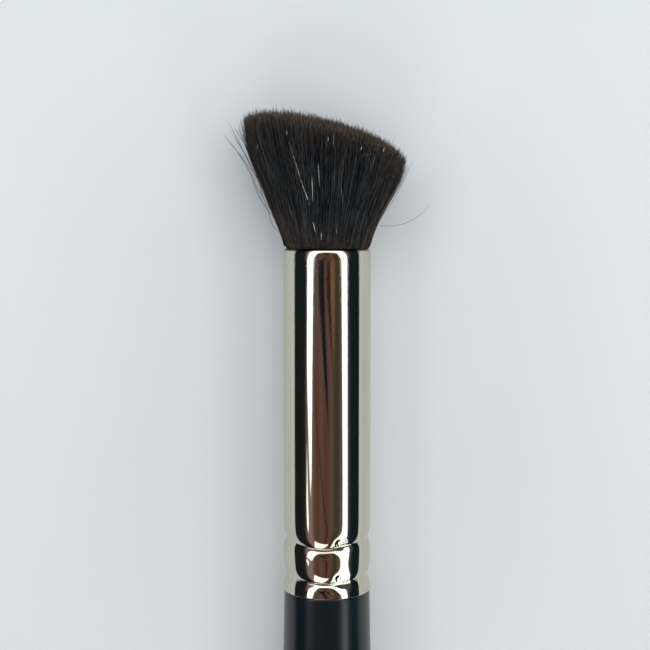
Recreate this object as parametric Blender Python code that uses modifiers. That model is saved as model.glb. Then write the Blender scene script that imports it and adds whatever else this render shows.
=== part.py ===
"""Angled contour brush, lying on a table with its head towards +Y.

A black lacquered wooden handle is glued and crimped into a plated tube ferrule, which holds a
bundle of hair that fans out to about twice the ferrule's width and is cut on a slant.

Every piece is modelled standing on one axis, with z = 0 in the plane of the ferrule's mouth,
z > 0 towards the hair tips and z < 0 towards the butt. An empty then lays the whole brush down:
its local +Z becomes world +Y and its local +Y points down at the table. The origin is on the
table, under the middle of the brush's length.
"""
import math

import bmesh
import bpy

MM = 0.001

# Fits
CLEARANCE = 0.3 * MM
OVERRUN = 0.4 * MM
MERGE = 0.01 * MM

# Ferrule: a drawn tube with a turned-in lip and two crimps
FERRULE_RADIUS = 6.0 * MM
FERRULE_LENGTH = 46.9 * MM
FERRULE_WALL = 0.3 * MM
LIP_ARC_RADIUS = 1.1 * MM
LIP_ARC_ANGLE = math.radians(35.0)
CRIMP_DEPTH = 0.42 * MM
CRIMP_UPPER_FLANK = 2.4 * MM
CRIMP_LOWER_FLANK = 1.1 * MM
FIRST_CRIMP_FROM_RIM = 7.3 * MM
LAST_CRIMP_FROM_RIM = 2.35 * MM
RIM_DRAW = 0.12 * MM

# Hair: a packed stem inside the ferrule, then strands that fan out above it
STEM_TOP_DEPTH = 1.0 * MM
STEM_LENGTH = 6.2 * MM
STEM_EDGE = 0.3 * MM
STRAND_COUNT = 330
RIM_STRAND_COUNT = 60
STRAND_SIDES = 3
STRAND_RADIUS = 0.22 * MM
STRAND_WAY_SHARES = (0.0, 0.36, 0.68, 1.0)
STRAND_RADIUS_SHARES = (0.65, 0.9, 1.0, 0.35)
ROOT_SPREAD_RADIUS = 4.42 * MM
TUFT_HALF_WIDTH = 12.0 * MM
TUFT_HALF_DEPTH = 7.5 * MM
TUFT_HEIGHT = 17.5 * MM
TUFT_FLARE_HEIGHT = 17.6 * MM
FLARE_BULGE_SHARE = 0.5
CUT_SLANT = math.radians(13.5)
CUT_DOME = 2.2 * MM
CUT_DOME_SQUARE_SHARE = 0.55

# Root: the resin plug and the thread wound on its neck
PLUG_LENGTH = 7.0 * MM
PLUG_FLANGE = 0.9 * MM
PLUG_NECK_RADIUS = 4.5 * MM
PLUG_EDGE = 0.3 * MM
PLUG_DISH_DEPTH = 0.8 * MM
PLUG_RIM_WIDTH = 0.7 * MM
THREAD_DIAMETER = 0.36 * MM
THREAD_PITCH = 1.0 * MM
THREAD_TURNS = 3
THREAD_POINTS_PER_TURN = 24
THREAD_BEVEL_RESOLUTION = 1

# Handle: a tenon in the ferrule, then a turned body that ends in a small flat
TENON_LENGTH = 20.0 * MM
TENON_CHAMFER = 0.8 * MM
GLUE_RELIEF_TOP = 2.0 * MM
GLUE_RELIEF_LENGTH = 7.0 * MM
GLUE_RELIEF_DEPTH = 0.8 * MM
GLUE_EDGE = 0.12 * MM
NECK_RADIUS = 5.9 * MM
NECK_EDGE = 0.35 * MM
NECK_SLOPE_SHARE = 0.014
BELLY_RADIUS = 6.5 * MM
BELLY_FROM_RIM = 32.0 * MM
HANDLE_LENGTH = 114.8 * MM
TAIL_RADIUS = 3.7 * MM
TAIL_SLOPE_SHARE = -0.036
BUTT_DOME_LENGTH = 3.2 * MM
BUTT_LAND_RADIUS = 1.6 * MM

# Facets
ROUND_SIDES = 34
LIP_STEPS = 4
CRIMP_STEPS = 4
EDGE_STEPS = 3
NECK_STEPS = 7
TAIL_STEPS = 10
BUTT_STEPS = 5
DISH_STEPS = 4
SMOOTH_ANGLE = math.radians(40.0)
GOLDEN_ANGLE = math.pi * (3.0 - math.sqrt(5.0))

# Heights below the mouth, from the sizes above
RIM_Z = -FERRULE_LENGTH
STEM_TOP_Z = -STEM_TOP_DEPTH
STEM_BOTTOM_Z = STEM_TOP_Z - STEM_LENGTH
PLUG_TOP_Z = STEM_BOTTOM_Z - CLEARANCE
TENON_TOP_Z = RIM_Z + TENON_LENGTH
CRIMP_HEIGHTS = (RIM_Z + FIRST_CRIMP_FROM_RIM, RIM_Z + LAST_CRIMP_FROM_RIM)
BORE_RADIUS = FERRULE_RADIUS - FERRULE_WALL
FILL_RADIUS = BORE_RADIUS - CLEARANCE
LIP_DROP = LIP_ARC_RADIUS * (1.0 - math.cos(LIP_ARC_ANGLE))
MOUTH_SPREAD_RADIUS = BORE_RADIUS - LIP_DROP - CLEARANCE

# A round side with a flat at the bottom stands this far above the table
REST_HEIGHT = BELLY_RADIUS * math.cos(math.pi / ROUND_SIDES)

HAIR_COLOUR = (0.028, 0.023, 0.020)
THREAD_COLOUR = (0.62, 0.57, 0.45)
RESIN_COLOUR = (0.45, 0.32, 0.14)
PLATE_COLOUR = (0.80, 0.79, 0.76)
GLUE_COLOUR = (0.78, 0.76, 0.66)
LACQUER_COLOUR = (0.012, 0.013, 0.015)


def clear_scene():
    """Remove every object of the file that this script starts in."""
    for item in list(bpy.data.objects):
        bpy.data.objects.remove(item, do_unlink=True)


def new_collection(name):
    """Make a collection and link it to the scene."""
    collection = bpy.data.collections.new(name)
    bpy.context.scene.collection.children.link(collection)
    return collection


def new_material(name, colour, roughness, metallic=0.0):
    """Make a Principled BSDF material of one colour."""
    material = bpy.data.materials.new(name)
    material.use_nodes = True
    shader = material.node_tree.nodes["Principled BSDF"]
    shader.inputs["Base Color"].default_value = (*colour, 1.0)
    shader.inputs["Roughness"].default_value = roughness
    shader.inputs["Metallic"].default_value = metallic
    material.diffuse_color = (*colour, 1.0)
    return material


def freeze(item):
    """Replace an object's curve or modifiers by the mesh that they make, shaded smooth."""
    bpy.context.view_layer.update()
    evaluated = item.evaluated_get(bpy.context.evaluated_depsgraph_get())
    mesh = bpy.data.meshes.new_from_object(evaluated)
    mesh.name = item.name
    mesh.shade_smooth()
    mesh.set_sharp_from_angle(angle=SMOOTH_ANGLE)
    return mesh


def turned(name, outline, seat_z, collection, wall=0.0, closed=False):
    """Turn an outline of (radius, height) points about the axis.

    The outline runs from the mouth's end to the butt's end on its outer side. A closed outline
    makes a ring, and an open one with a wall makes a tube whose wall grows inwards. The object's
    origin is on the axis at seat_z.
    """
    count = len(outline)
    edges = [(i, i + 1) for i in range(count - 1)]
    if closed:
        edges.append((count - 1, 0))
    profile = bpy.data.meshes.new(name)
    profile.from_pydata([(radius, 0.0, z - seat_z) for radius, z in outline], edges, [])
    item = bpy.data.objects.new(name, profile)
    collection.objects.link(item)
    screw = item.modifiers.new("turn", "SCREW")
    screw.axis = "Z"
    screw.steps = ROUND_SIDES
    screw.render_steps = ROUND_SIDES
    screw.use_merge_vertices = True
    screw.merge_threshold = MERGE
    if wall > 0.0:
        solidify = item.modifiers.new("wall", "SOLIDIFY")
        solidify.thickness = wall
        solidify.offset = -1.0
        solidify.use_even_offset = True
    item.data = freeze(item)
    item.modifiers.clear()
    item.location.z = seat_z
    return item


def arc(centre_radius, centre_z, radius, start, end, steps):
    """Points of an arc in the (radius, height) plane; angles are from the outward direction."""
    points = []
    for step in range(steps + 1):
        angle = start + (end - start) * step / steps
        points.append((centre_radius + radius * math.cos(angle), centre_z + radius * math.sin(angle)))
    return points


def hermite(share, start, end, start_rise, end_rise):
    """Cubic from start to end with the given rise per unit share at each end."""
    square = share * share
    cube = square * share
    return (
        (2.0 * cube - 3.0 * square + 1.0) * start
        + (cube - 2.0 * square + share) * start_rise
        + (3.0 * square - 2.0 * cube) * end
        + (cube - square) * end_rise
    )


def wall_dip(z):
    """How far the wall lies inside the tube's radius at height z.

    Each crimp is two parabolas that meet in a crease, and the collar below the last crimp stays
    a little drawn in.
    """
    dip = RIM_DRAW if z < CRIMP_HEIGHTS[-1] else 0.0
    for centre in CRIMP_HEIGHTS:
        flank = CRIMP_UPPER_FLANK if z > centre else CRIMP_LOWER_FLANK
        share = abs(z - centre) / flank
        if share < 1.0:
            dip = max(dip, CRIMP_DEPTH * (1.0 - share) ** 2)
    return dip


def crimp_stations():
    """Heights that an outline needs across the two crimps, from the mouth's side down."""
    heights = []
    for centre in CRIMP_HEIGHTS:
        for step in range(CRIMP_STEPS):
            heights.append(centre + CRIMP_UPPER_FLANK * (1.0 - step / CRIMP_STEPS))
        for step in range(CRIMP_STEPS + 1):
            heights.append(centre - CRIMP_LOWER_FLANK * step / CRIMP_STEPS)
    return heights


def make_ferrule(collection):
    """The plated tube: a lip turned in at the mouth, and two crimps that grip the tenon."""
    lip_start = FERRULE_RADIUS - LIP_ARC_RADIUS
    lip_foot = -LIP_ARC_RADIUS * math.sin(LIP_ARC_ANGLE)
    outline = arc(lip_start, lip_foot, LIP_ARC_RADIUS, LIP_ARC_ANGLE, 0.0, LIP_STEPS)
    outline += [(FERRULE_RADIUS - wall_dip(z), z) for z in crimp_stations()]
    outline.append((FERRULE_RADIUS - RIM_DRAW, RIM_Z))
    return turned("ferrule", outline, 0.0, collection, wall=FERRULE_WALL)


def make_handle(collection):
    """The wooden handle: a tenon that follows the ferrule's bore, a belly and a slim tail."""
    relief_top = TENON_TOP_Z - GLUE_RELIEF_TOP
    relief_bottom = relief_top - GLUE_RELIEF_LENGTH
    relief_radius = FILL_RADIUS - GLUE_RELIEF_DEPTH
    outline = [
        (0.0, TENON_TOP_Z),
        (FILL_RADIUS - TENON_CHAMFER, TENON_TOP_Z),
        (FILL_RADIUS, TENON_TOP_Z - TENON_CHAMFER),
        (FILL_RADIUS, relief_top),
        (relief_radius, relief_top),
        (relief_radius, relief_bottom),
        (FILL_RADIUS, relief_bottom),
    ]
    outline += [(FILL_RADIUS - wall_dip(z), z) for z in crimp_stations()]

    neck_z = RIM_Z - CLEARANCE
    outline.append((FILL_RADIUS - RIM_DRAW, neck_z))
    edge_radius = min(NECK_EDGE, NECK_RADIUS - FILL_RADIUS)
    outline += arc(
        NECK_RADIUS - edge_radius, neck_z - edge_radius, edge_radius, math.pi / 2.0, 0.0, EDGE_STEPS
    )

    belly_z = RIM_Z - BELLY_FROM_RIM
    tail_z = RIM_Z - HANDLE_LENGTH + BUTT_DOME_LENGTH
    body_z = neck_z - edge_radius
    for step in range(1, NECK_STEPS + 1):
        share = step / NECK_STEPS
        rise = NECK_SLOPE_SHARE * (body_z - belly_z)
        outline.append(
            (hermite(share, NECK_RADIUS, BELLY_RADIUS, rise, 0.0), body_z + (belly_z - body_z) * share)
        )
    for step in range(1, TAIL_STEPS + 1):
        share = step / TAIL_STEPS
        rise = TAIL_SLOPE_SHARE * (belly_z - tail_z)
        outline.append(
            (hermite(share, BELLY_RADIUS, TAIL_RADIUS, 0.0, rise), belly_z + (tail_z - belly_z) * share)
        )
    for step in range(1, BUTT_STEPS + 1):
        angle = math.pi / 2.0 * step / BUTT_STEPS
        radius = BUTT_LAND_RADIUS + (TAIL_RADIUS - BUTT_LAND_RADIUS) * math.cos(angle)
        outline.append((radius, tail_z - BUTT_DOME_LENGTH * math.sin(angle)))
    outline.append((0.0, RIM_Z - HANDLE_LENGTH))
    return turned("handle", outline, RIM_Z, collection)


def make_tenon_glue(collection):
    """The ring of adhesive in the tenon's relief, clear of the relief and of the bore."""
    top = TENON_TOP_Z - GLUE_RELIEF_TOP - CLEARANCE
    bottom = TENON_TOP_Z - GLUE_RELIEF_TOP - GLUE_RELIEF_LENGTH + CLEARANCE
    inner = FILL_RADIUS - GLUE_RELIEF_DEPTH + CLEARANCE
    outline = [
        (inner, top),
        (FILL_RADIUS - GLUE_EDGE, top),
        (FILL_RADIUS, top - GLUE_EDGE),
        (FILL_RADIUS, bottom + GLUE_EDGE),
        (FILL_RADIUS - GLUE_EDGE, bottom),
        (inner, bottom),
    ]
    return turned("tenon_glue", outline, top, collection, closed=True)


def make_root_glue(collection):
    """The resin plug under the hair: two flanges, a neck for the thread and a dished back."""
    bottom = PLUG_TOP_Z - PLUG_LENGTH
    outline = [
        (0.0, PLUG_TOP_Z),
        (FILL_RADIUS - PLUG_EDGE, PLUG_TOP_Z),
        (FILL_RADIUS, PLUG_TOP_Z - PLUG_EDGE),
        (FILL_RADIUS, PLUG_TOP_Z - PLUG_FLANGE),
        (PLUG_NECK_RADIUS, PLUG_TOP_Z - PLUG_FLANGE),
        (PLUG_NECK_RADIUS, bottom + PLUG_FLANGE),
        (FILL_RADIUS, bottom + PLUG_FLANGE),
        (FILL_RADIUS, bottom),
    ]
    dish_radius = FILL_RADIUS - PLUG_RIM_WIDTH
    for step in range(DISH_STEPS + 1):
        share = 1.0 - step / DISH_STEPS
        outline.append((dish_radius * share, bottom + PLUG_DISH_DEPTH * (1.0 - share * share)))
    return turned("root_glue", outline, PLUG_TOP_Z, collection)


def new_curve(name, collection, rows, cyclic=False):
    """Make a 3D curve of straight runs; each row is a list of (x, y, z, radius factor)."""
    data = bpy.data.curves.new(name, "CURVE")
    data.dimensions = "3D"
    for row in rows:
        spline = data.splines.new("POLY")
        spline.points.add(len(row) - 1)
        spline.use_cyclic_u = cyclic
        for point, (x, y, z, factor) in zip(spline.points, row):
            point.co = (x, y, z, 1.0)
            point.radius = factor
    item = bpy.data.objects.new(name, data)
    collection.objects.link(item)
    return item


def weld(mesh):
    """Join a curve's loose end caps to its sides, and turn every face outwards."""
    cage = bmesh.new()
    cage.from_mesh(mesh)
    bmesh.ops.remove_doubles(cage, verts=cage.verts, dist=MERGE)
    bmesh.ops.recalc_face_normals(cage, faces=cage.faces)
    cage.to_mesh(mesh)
    cage.free()


def thread_route():
    """Centre line of the thread: a helix on the plug's neck with straight ends."""
    radius = PLUG_NECK_RADIUS + CLEARANCE + THREAD_DIAMETER / 2.0
    middle = PLUG_TOP_Z - PLUG_LENGTH / 2.0
    count = THREAD_TURNS * THREAD_POINTS_PER_TURN
    route = []
    for step in range(count + 1):
        turn = step / THREAD_POINTS_PER_TURN
        angle = 2.0 * math.pi * turn
        z = middle + THREAD_PITCH * (THREAD_TURNS / 2.0 - turn)
        route.append((radius * math.cos(angle), radius * math.sin(angle), z))
    first = [2.0 * a - b for a, b in zip(route[0], route[1])]
    last = [2.0 * a - b for a, b in zip(route[-1], route[-2])]
    step_length = math.dist(route[0], route[1])
    reach = THREAD_DIAMETER / step_length
    first = [a + (b - a) * reach for a, b in zip(route[0], first)]
    last = [a + (b - a) * reach for a, b in zip(route[-1], last)]
    return [tuple(first)] + route + [tuple(last)]


def thread_gap(route):
    """Least gap between the thread and itself, between points over half a turn apart."""
    apart = THREAD_POINTS_PER_TURN // 2
    least = min(
        math.dist(route[i], route[j]) for i in range(len(route)) for j in range(i + apart, len(route))
    )
    return least - THREAD_DIAMETER


def make_root_tie(collection):
    """The waxed thread wound round the root, as one unbroken tube."""
    route = thread_route()
    print(f"root_tie: least gap to itself {thread_gap(route) / MM:.2f} mm")
    item = new_curve("root_tie", collection, [[(*place, 1.0) for place in route]])
    item.data.bevel_depth = THREAD_DIAMETER / 2.0
    item.data.bevel_resolution = THREAD_BEVEL_RESOLUTION
    item.data.use_fill_caps = True
    return item


def flare(z):
    """Share of the fan's full spread that the hair has reached at height z above the mouth."""
    share = min(max(z / TUFT_FLARE_HEIGHT, 0.0), 1.0)
    return share + FLARE_BULGE_SHARE * (math.sin(math.pi / 2.0 * share) - share)


def strand_place(x_share, y_share, z, margin):
    """Centre of a strand at height z; the shares place it in a disc of radius 1.

    The hair lies on the table, so the columns below the axis are pressed up to its surface.
    """
    if z <= 0.0:
        return ROOT_SPREAD_RADIUS * x_share, ROOT_SPREAD_RADIUS * y_share
    spread = flare(z)
    half_width = MOUTH_SPREAD_RADIUS + (TUFT_HALF_WIDTH - MOUTH_SPREAD_RADIUS) * spread - margin
    half_depth = MOUTH_SPREAD_RADIUS + (TUFT_HALF_DEPTH - MOUTH_SPREAD_RADIUS) * spread - margin
    column = half_depth * math.sqrt(max(1.0 - x_share * x_share, 0.0))
    room = REST_HEIGHT - margin
    press = room / column if y_share > 0.0 and column > room else 1.0
    return half_width * x_share, half_depth * y_share * press


def tip_height(x_share, y_share):
    """Height of the cut above the mouth: a slanted plane that domes down to its edge."""
    square = x_share * x_share + y_share * y_share
    dome = CUT_DOME_SQUARE_SHARE * square + (1.0 - CUT_DOME_SQUARE_SHARE) * square * square
    return TUFT_HEIGHT - math.tan(CUT_SLANT) * TUFT_HALF_WIDTH * x_share - CUT_DOME * dome


def strand_rows():
    """Centre lines of all strands: an even ring round seeds of a sunflower, so that none cross.

    The ring gives the bundle its outline, and it is the same on both sides of the axis, so the
    hair lies level on the table.
    """
    rows = []
    root_z = STEM_TOP_Z - OVERRUN
    inner_count = STRAND_COUNT - RIM_STRAND_COUNT
    for index in range(STRAND_COUNT):
        if index < inner_count:
            reach_share = math.sqrt((index + 0.5) / STRAND_COUNT)
            angle = index * GOLDEN_ANGLE
        else:
            reach_share = 1.0
            angle = 2.0 * math.pi * (index - inner_count + 0.5) / RIM_STRAND_COUNT
        x_share = reach_share * math.cos(angle)
        y_share = reach_share * math.sin(angle)
        tip_z = tip_height(x_share, y_share)
        row = []
        for way, factor in zip(STRAND_WAY_SHARES, STRAND_RADIUS_SHARES):
            z = root_z + (tip_z - root_z) * way
            x, y = strand_place(x_share, y_share, z, STRAND_RADIUS * factor)
            row.append((x, y, z, factor))
        rows.append(row)
    return rows


def make_hair_tuft(collection, cutters, rows):
    """The hair: strands of three sides, fused to the stem that is packed in the ferrule."""
    corners = [2.0 * math.pi * corner / STRAND_SIDES for corner in range(STRAND_SIDES)]
    ring = [(STRAND_RADIUS * math.cos(angle), STRAND_RADIUS * math.sin(angle), 0.0, 1.0) for angle in corners]
    section = new_curve("strand_section", cutters, [ring], cyclic=True)
    curves = new_curve("strand_curves", cutters, rows)
    curves.data.bevel_mode = "OBJECT"
    curves.data.bevel_object = section
    curves.data.use_fill_caps = True
    mesh = freeze(curves)
    weld(mesh)
    strands = bpy.data.objects.new("strands", mesh)
    cutters.objects.link(strands)
    strands.location.z = -STEM_TOP_Z
    bpy.data.objects.remove(curves, do_unlink=True)
    bpy.data.objects.remove(section, do_unlink=True)

    outline = [
        (0.0, STEM_TOP_Z),
        (FILL_RADIUS - STEM_EDGE, STEM_TOP_Z),
        (FILL_RADIUS, STEM_TOP_Z - STEM_EDGE),
        (FILL_RADIUS, STEM_BOTTOM_Z + STEM_EDGE),
        (FILL_RADIUS - STEM_EDGE, STEM_BOTTOM_Z),
        (0.0, STEM_BOTTOM_Z),
    ]
    stem = turned("hair_tuft", outline, STEM_TOP_Z, collection)
    strands.parent = stem
    union = stem.modifiers.new("strands", "BOOLEAN")
    union.operation = "UNION"
    union.object = strands
    strands.hide_render = True
    strands.display_type = "WIRE"
    return stem


def main():
    """Model the pieces on one axis, then lay the brush on the table."""
    clear_scene()
    parts = new_collection("angled_contour_brush")
    cutters = new_collection("cutters")
    rows = strand_rows()
    finish = {
        "hair_tuft": (make_hair_tuft(parts, cutters, rows), HAIR_COLOUR, 0.62, 0.0),
        "root_tie": (make_root_tie(parts), THREAD_COLOUR, 0.8, 0.0),
        "root_glue": (make_root_glue(parts), RESIN_COLOUR, 0.35, 0.0),
        "ferrule": (make_ferrule(parts), PLATE_COLOUR, 0.12, 1.0),
        "tenon_glue": (make_tenon_glue(parts), GLUE_COLOUR, 0.5, 0.0),
        "handle": (make_handle(parts), LACQUER_COLOUR, 0.3, 0.0),
    }
    tip_z = max(row[-1][2] for row in rows)
    length = tip_z + FERRULE_LENGTH + HANDLE_LENGTH
    axis = bpy.data.objects.new("brush_axis", None)
    parts.objects.link(axis)
    axis.rotation_euler.x = math.radians(-90.0)
    axis.location = (0.0, length / 2.0 - tip_z, REST_HEIGHT)
    for name, (item, colour, roughness, metallic) in finish.items():
        item.parent = axis
        item.data.materials.clear()
        item.data.materials.append(new_material(name, colour, roughness, metallic))
    bpy.context.view_layer.update()
    print(f"angled_contour_brush: {length / MM:.1f} mm long")


main()
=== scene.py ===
"""Looks of an angled contour brush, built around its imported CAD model.

The fanned head of hair, its stray and white hairs, the crimped ferrule and the lacquered handle
are surfaces worked out as whole arrays. The thread, resin and adhesive inside the ferrule keep
their CAD shape and get their own finishes. A table, lamps and a camera make the stage.

Places on the brush are given by three distances: across the axis (to the right), rise above the
ferrule's mouth (towards the hair tips) and up from the axis (away from the table).
"""
import math

import bpy
import numpy as np
from bpy.props import FloatProperty, FloatVectorProperty, IntProperty, PointerProperty
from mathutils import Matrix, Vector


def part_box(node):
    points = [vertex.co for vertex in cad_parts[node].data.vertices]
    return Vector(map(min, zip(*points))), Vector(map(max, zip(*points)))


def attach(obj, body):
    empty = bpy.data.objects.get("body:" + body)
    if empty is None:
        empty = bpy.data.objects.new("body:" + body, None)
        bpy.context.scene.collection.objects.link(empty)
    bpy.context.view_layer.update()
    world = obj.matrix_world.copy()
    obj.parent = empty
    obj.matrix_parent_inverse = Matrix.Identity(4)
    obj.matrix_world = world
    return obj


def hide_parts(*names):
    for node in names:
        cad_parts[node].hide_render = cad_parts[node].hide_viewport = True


bl_info = {
    "name": "Angled contour brush",
    "version": (1, 0, 0),
    "blender": (4, 5, 0),
    "location": "3D View > Sidebar > Brush",
    "description": "Makes the hair, ferrule, handle and stage of an angled contour brush",
    "category": "Object",
}

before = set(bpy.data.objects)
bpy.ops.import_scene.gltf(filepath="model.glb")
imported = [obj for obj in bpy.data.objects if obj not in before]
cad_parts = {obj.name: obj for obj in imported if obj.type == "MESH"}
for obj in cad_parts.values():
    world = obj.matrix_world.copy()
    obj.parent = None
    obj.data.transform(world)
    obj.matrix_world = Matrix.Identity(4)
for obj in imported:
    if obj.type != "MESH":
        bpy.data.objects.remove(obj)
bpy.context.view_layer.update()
BODY = "root"
MM = 0.001
FULL_TURN = 2.0 * math.pi
SMOOTH_ANGLE = math.radians(40.0)

# Where the brush lies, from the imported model
FERRULE_LOW, FERRULE_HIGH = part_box("ferrule")
HANDLE_LOW, HANDLE_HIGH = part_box("handle")
MOUTH_Y = FERRULE_HIGH.y
AXIS_Z = (FERRULE_LOW.z + FERRULE_HIGH.z) / 2.0
FERRULE_RADIUS = (FERRULE_HIGH.x - FERRULE_LOW.x) / 2.0
FERRULE_LENGTH = FERRULE_HIGH.y - FERRULE_LOW.y
BELLY_RADIUS = AXIS_Z
HANDLE_LENGTH = FERRULE_LOW.y - HANDLE_LOW.y
TENON_LENGTH = HANDLE_HIGH.y - FERRULE_LOW.y

# The photograph's camera, and the rows of its pixels at which the mouth and two bands show
PHOTO_SIDE = 650.0
PHOTO_FOCUS = 1238.0
SENSOR_SIDE = 36.0
CAMERA_TILT = math.radians(-4.3)
MOUTH_ROW, NEAR_ROW, FAR_ROW = 249.0, 300.0, 490.0
PLATE = (0.635, 0.61, 0.495)

# Layers of the head, and each hair's sides and rings, as shares of its length: the rings of the
# bundle are closer at the root, where the hair bends
LAYER_NAMES = ("core", "second", "third", "fourth", "fifth", "sixth", "outer")
HAIR_SIDES = 3
BUNDLE_RINGS = np.linspace(0.0, 1.0, 9) ** 1.25
SINGLE_RINGS = np.linspace(0.0, 1.0, 14)

# A hair's cell in the map: its margin, its sides' size, its root's corners and its tip's shift
CELL_MARGIN = 0.06
CELL_SIDES = (0.7, 0.88)
CELL_ROOT = ((0.82, 0.06), (0.94, 0.06), (0.82, 0.2))
CELL_TIP_SHIFT = (0.0, 0.7)

# Depth of the roots below the mouth, room under the lowest hairs, and over the bundle's top
ROOT_DEPTH = 1.6 * MM
TABLE_ROOM = 0.06 * MM
TOP_ROOM = 0.03 * MM

# Slope of the cut, and draws above which a hair is loose, stands over the cut or is broken
CUT_SLANT = math.radians(14.2)
LOOSE_DRAW, FRINGE_DRAW, BROKEN_DRAW = 0.94, 0.91, 0.93


def smooth_step(value, start, span):
    """Smooth rise from 0 to 1 while a value goes from the start over the span."""
    share = np.clip((value - start) / span, 0.0, 1.0)
    return share * share * (3.0 - 2.0 * share)


def bell(value, middle, width, power=2):
    """Bell curve that is 1 at its middle: exp(-((value - middle) / width) ^ power)."""
    return np.exp(-(((value - middle) / width) ** power))


def stacked(*parts):
    """Arrays brought to one shape and set side by side on a last axis."""
    return np.stack(np.broadcast_arrays(*parts), axis=-1)


def shade(colour, factor):
    """A colour made lighter or darker."""
    return tuple(factor * value for value in colour)


def linear(colour):
    """Linear colour of a display colour that is given by three numbers from 0 to 255."""
    shown = np.array(colour) / 255.0
    return np.where(shown <= 0.04045, shown / 12.92, ((shown + 0.055) / 1.055) ** 2.4).tolist()


class Wire:
    """One output of a shader node; sums written with it add Math nodes."""

    def __init__(self, finish, socket):
        self.finish = finish
        self.socket = socket

    def math(self, operation, first, second=0.0):
        return self.finish.node("Math", {"operation": operation}, {0: first, 1: second})

    def __add__(self, other):
        return self.math("ADD", self, other)

    def __sub__(self, other):
        return self.math("SUBTRACT", self, other)

    def __rsub__(self, other):
        return self.math("SUBTRACT", other, self)

    def __mul__(self, other):
        return self.math("MULTIPLY", self, other)

    def __truediv__(self, other):
        return self.math("DIVIDE", self, other)

    def __abs__(self):
        return self.math("ABSOLUTE", self)

    __radd__ = __add__
    __rmul__ = __mul__


class Finish:
    """A node tree that is filled in with Python sums."""

    def __init__(self, owner):
        owner.use_nodes = True
        self.owner = owner
        self.tree = owner.node_tree

    def feed(self, socket, value):
        """Link a wire to a socket, or set the socket's value."""
        if isinstance(value, Wire):
            self.tree.links.new(value.socket, socket)
        elif socket.type == "RGBA" and len(value) == 3:
            socket.default_value = (*value, 1.0)
        else:
            socket.default_value = value

    def node(self, kind, settings=None, sockets=None, output=0):
        """Add a node with its settings, then its sockets' values or links, and return an output."""
        made = self.tree.nodes.new("ShaderNode" + kind)
        for name, value in (settings or {}).items():
            if name == "stops":
                ramp = made.color_ramp.elements
                while len(ramp) < len(value):
                    ramp.new(1.0)
                for stop, (place, colour) in zip(ramp, value):
                    stop.position = place
                    stop.color = (*colour, 1.0)
            else:
                setattr(made, name, value)
        for name, value in (sockets or {}).items():
            self.feed(made.inputs[name], value)
        return Wire(self, made.outputs[output])

    def place(self, axis=None):
        """Object coordinates, or one of them."""
        whole = self.node("TexCoord", output=3)
        return whole if axis is None else self.node("SeparateXYZ", sockets={0: whole}, output=axis)

    def blend(self, share, first, second):
        """Mix two colours."""
        return self.node("Mix", {"data_type": "RGBA"}, {0: share, 6: first, 7: second}, output=2)

    def noise(self, scale, along=1.0, detail=3.0, roughness=0.5, across=1.0):
        """Noise on Object coordinates, in waves per metre, with a factor along and one across."""
        sockets = {"Vector": self.place(), "Scale": (across, along, 1.0)}
        sockets = {"Vector": self.node("Mapping", sockets=sockets), "Scale": scale}
        return self.node("TexNoise", sockets={**sockets, "Detail": detail, "Roughness": roughness})

    def spread(self, wire, zero, one):
        """A value stretched so that it is 0 at one place and 1 at the other, and no more beyond."""
        sockets = {"Value": wire, "From Min": zero, "From Max": one}
        return self.node("MapRange", {"clamp": True}, sockets)

    def attribute(self, name):
        """A number that the mesh carries for each point."""
        return self.node("Attribute", {"attribute_name": name}, output=2)

    def bump(self, height, strength, distance):
        """Normal of a height that varies over the surface."""
        sockets = {"Height": height, "Strength": strength, "Distance": distance}
        return self.node("Bump", sockets=sockets)

    def surface(self, colour, roughness, **others):
        """Set the Principled shader's sockets, and return the material."""
        sockets = {"Base Color": colour, "Roughness": roughness, **others}
        for name, value in sockets.items():
            self.feed(self.tree.nodes["Principled BSDF"].inputs[name], value)
        return self.owner

    def glow(self, colour, strength):
        """Make the material a plain glow, and return it."""
        light = self.node("Emission", sockets={"Color": colour, "Strength": strength})
        self.feed(self.tree.nodes["Material Output"].inputs["Surface"], light)
        return self.owner


def new_finish(name):
    """Start a material."""
    return Finish(bpy.data.materials.new(name))


def on_brush(across, rise, up):
    """World places of points given across the axis, above the mouth and up from the axis."""
    return stacked(across, MOUTH_Y + rise, AXIS_Z + up)


def grid_faces(rows, columns, ring=False):
    """Quads of a grid whose columns close into a ring, and its rows too if it is a ring.

    Corner (i, j) is joined to (i + 1, j), (i + 1, j + 1) and (i, j + 1).
    """
    row = np.arange(rows if ring else rows - 1)[:, None]
    column = np.arange(columns)
    here = row * columns
    below = (row + 1) % rows * columns
    beside = (column + 1) % columns
    return stacked(here + column, below + column, below + beside, here + beside).reshape(-1, 4)


def turned_grid(radius, rise, turns):
    """Points of an outline turned about the axis.

    At turn t, across is radius times sin(t) and up is radius times cos(t). The radius may differ
    from turn to turn.
    """
    return on_brush(radius * np.sin(turns), rise, radius * np.cos(turns))


def new_object(name, data):
    """Link a new object to the scene."""
    made = bpy.data.objects.new(name, data)
    bpy.context.scene.collection.objects.link(made)
    return made


def mesh_object(name, points, faces, material):
    """A smooth mesh object, from points and blocks of faces."""
    mesh = bpy.data.meshes.new(name)
    points = points.reshape(-1, 3)
    corners = np.concatenate([block.ravel() for block in faces])
    sizes = np.concatenate([np.full(len(block), block.shape[1]) for block in faces])
    mesh.vertices.add(len(points))
    mesh.vertices.foreach_set("co", points.ravel())
    mesh.loops.add(len(corners))
    mesh.loops.foreach_set("vertex_index", corners.astype(np.int32))
    mesh.polygons.add(len(sizes))
    mesh.polygons.foreach_set("loop_start", (np.cumsum(sizes) - sizes).astype(np.int32))
    mesh.update(calc_edges=True)
    mesh.shade_smooth()
    mesh.materials.append(material)
    return new_object(name, mesh)


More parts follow.
